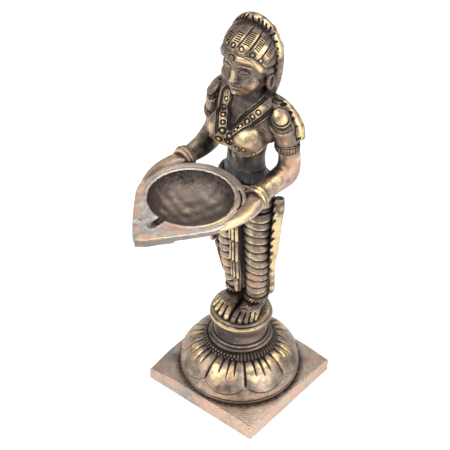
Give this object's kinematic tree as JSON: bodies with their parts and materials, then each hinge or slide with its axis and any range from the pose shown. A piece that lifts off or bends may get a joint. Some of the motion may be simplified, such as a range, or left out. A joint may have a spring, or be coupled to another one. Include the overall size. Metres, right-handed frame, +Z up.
{
  "type": "standing lady oil lamp statue",
  "caption": "Cast brass lady standing on a petalled pedestal and square plinth, holding out a leaf-shaped oil lamp dish with a round bowl and a wick groove.",
  "frame": {"origin": "centre of the plinth's underside, where the statue rests", "axes": "+Z up along the figure, -Y the way she faces and the dish points, +X to her left"},
  "size_m": [0.046, 0.0759, 0.1497],
  "materials": {
    "aged_brass": "cast and patinated, satin, grey-brown over brass",
    "rubbed_brass": "cast, worn bright on the high places",
    "dark_brass": "cast, dark patina in fine relief"
  },
  "bodies": {
    "root": {"plinth": "aged_brass", "tie_rod": "rubbed_brass", "lotus_dome": "rubbed_brass", "beaded_collar": "dark_brass", "pedestal_neck": "aged_brass", "foot_disc": "rubbed_brass", "hips": "aged_brass", "girdle": "dark_brass", "centre_sash": "rubbed_brass", "torso": "aged_brass", "necklace": "rubbed_brass", "head": "aged_brass", "cap": "rubbed_brass", "brow_band": "rubbed_brass", "crest": "rubbed_brass", "back_hair": "aged_brass", "hair_bun": "aged_brass", "lamp_dish": "aged_brass", "left_foot": "rubbed_brass", "left_anklet": "dark_brass", "left_leg": "aged_brass", "left_side_frill": "rubbed_brass", "left_hem_frill": "rubbed_brass", "left_ear_drop": "aged_brass", "left_upper_arm": "aged_brass", "left_shoulder_ornament": "rubbed_brass", "left_scarf_end": "rubbed_brass", "left_armlet": "dark_brass", "left_forearm": "aged_brass", "left_bangle": "rubbed_brass", "left_hand": "aged_brass", "right_foot": "rubbed_brass", "right_anklet": "dark_brass", "right_leg": "aged_brass", "right_side_frill": "rubbed_brass", "right_hem_frill": "rubbed_brass", "right_ear_drop": "aged_brass", "right_upper_arm": "aged_brass", "right_shoulder_ornament": "rubbed_brass", "right_scarf_end": "rubbed_brass", "right_armlet": "dark_brass", "right_forearm": "aged_brass", "right_bangle": "rubbed_brass", "right_hand": "aged_brass"}
  },
  "joints": []
}
